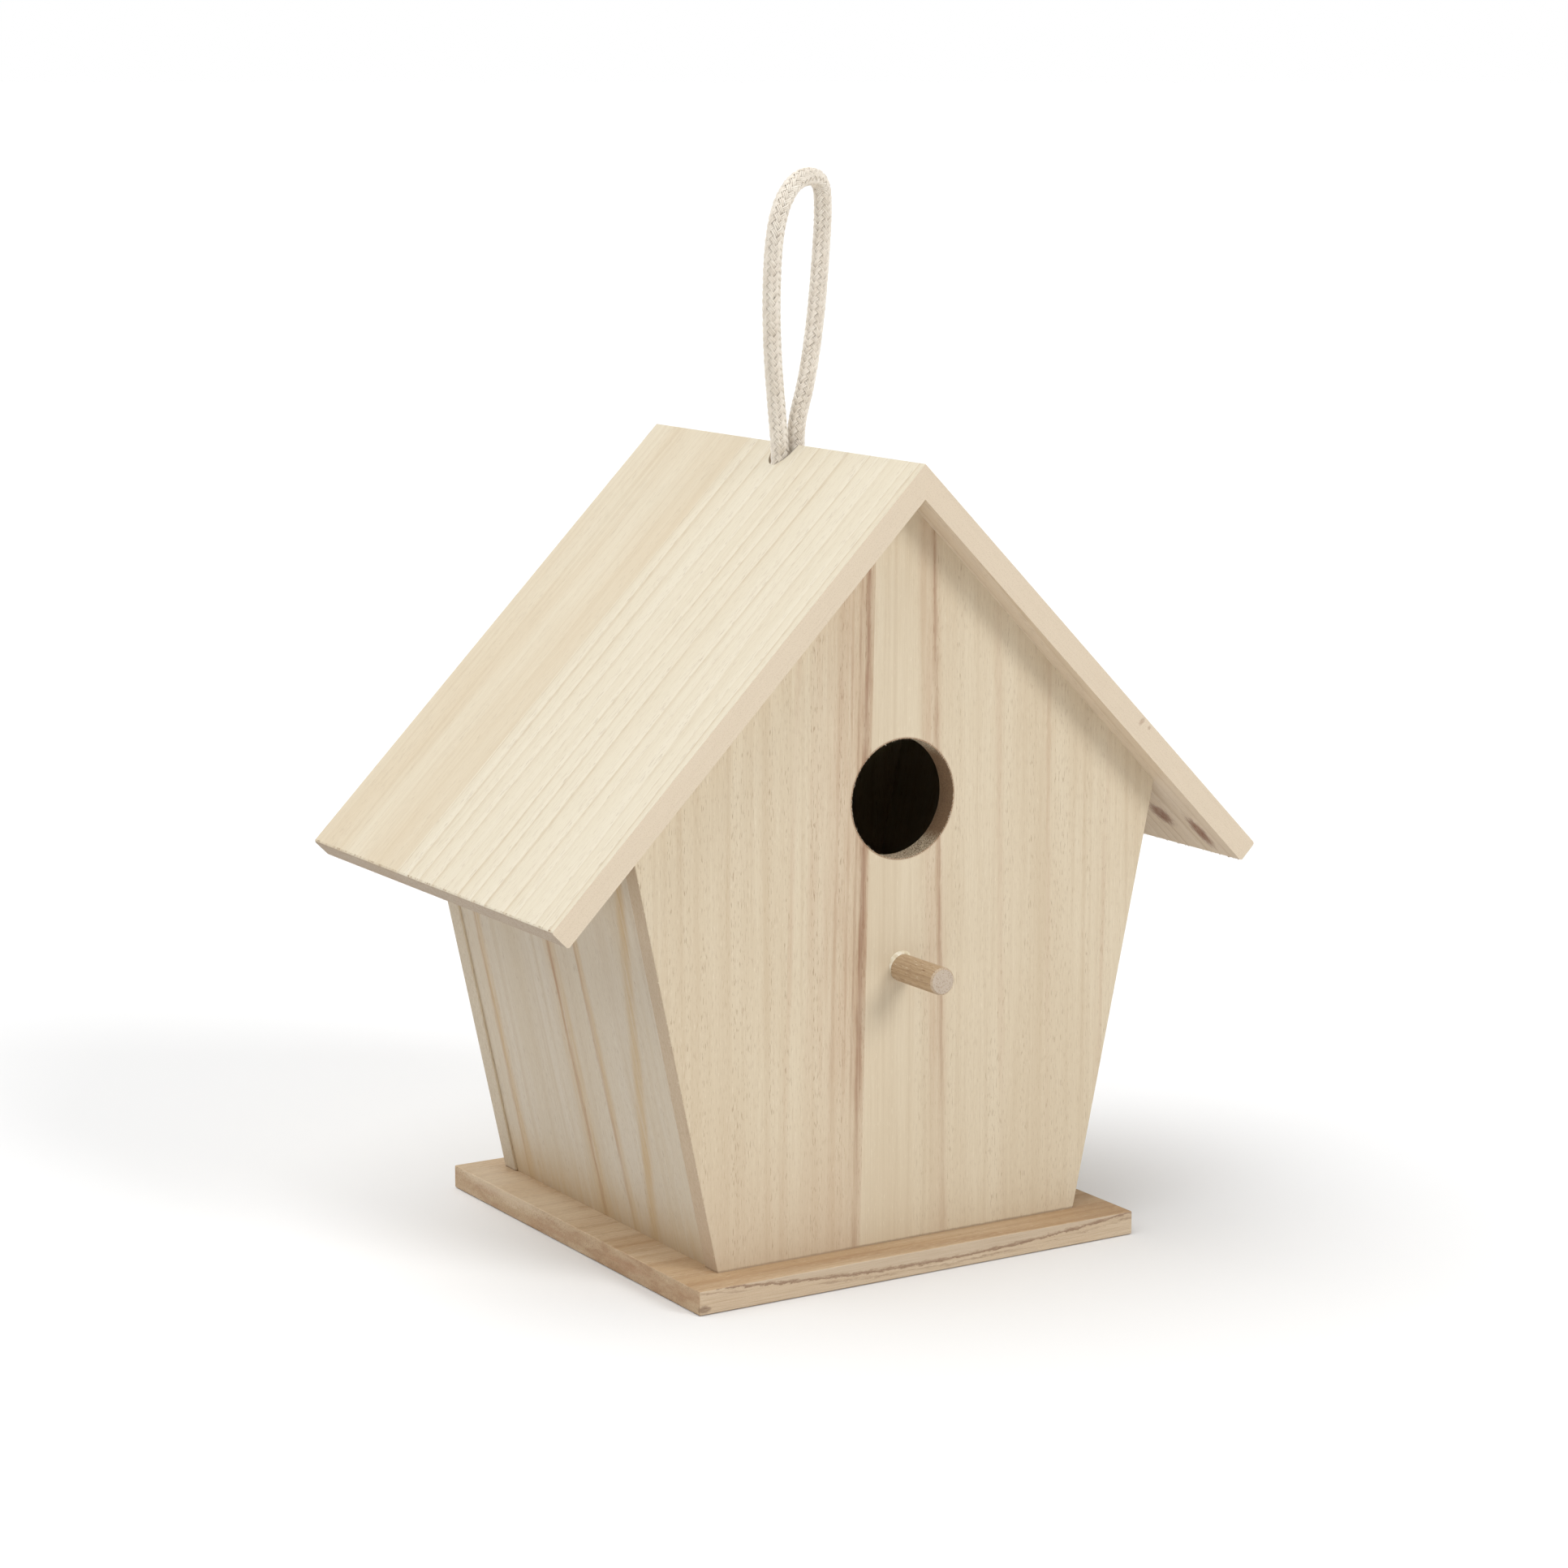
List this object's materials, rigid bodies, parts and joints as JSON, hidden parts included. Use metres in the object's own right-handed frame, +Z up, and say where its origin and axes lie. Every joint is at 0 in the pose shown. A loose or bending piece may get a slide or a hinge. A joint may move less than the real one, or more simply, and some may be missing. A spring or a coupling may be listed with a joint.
{
  "type": "birdhouse",
  "caption": "Gabled wooden birdhouse with flared walls, a round entrance hole, a dowel perch and a braided cotton hanging loop.",
  "frame": {"origin": "middle of the base board's underside, where the birdhouse stands", "axes": "+Z up; the front panel with the entrance hole faces -Y; +X is to the right seen from the front, across the eaves"},
  "size_m": [0.237, 0.1605, 0.3129],
  "materials": {
    "panel_wood": "unfinished sanded paulownia, vertical grain",
    "side_wood": "unfinished sanded paulownia with ochre streaks",
    "roof_wood": "unfinished sanded paulownia, pale, grain down the slope",
    "base_wood": "unfinished sawn paulownia, warm tan, wavy figure",
    "perch_wood": "plain turned dowel with a sawn end",
    "cotton_cord": "natural braided cotton, slightly fuzzy",
    "brad_steel": "bright wire",
    "dried_glue": "dried wood glue, satin"
  },
  "bodies": {
    "root": {"base_board": "base_wood", "base_brads": "brad_steel", "front_panel_left_stave": "panel_wood", "front_panel_right_stave": "panel_wood", "back_panel_left_stave": "panel_wood", "back_panel_right_stave": "panel_wood", "side_panel_left": "side_wood", "side_panel_right": "side_wood", "roof_left_front_stave": "roof_wood", "roof_left_rear_stave": "roof_wood", "roof_right_front_stave": "roof_wood", "roof_right_rear_stave": "roof_wood", "perch_dowel": "perch_wood", "hanging_cord": "cotton_cord", "cord_knot": "cotton_cord"}
  },
  "joints": []
}
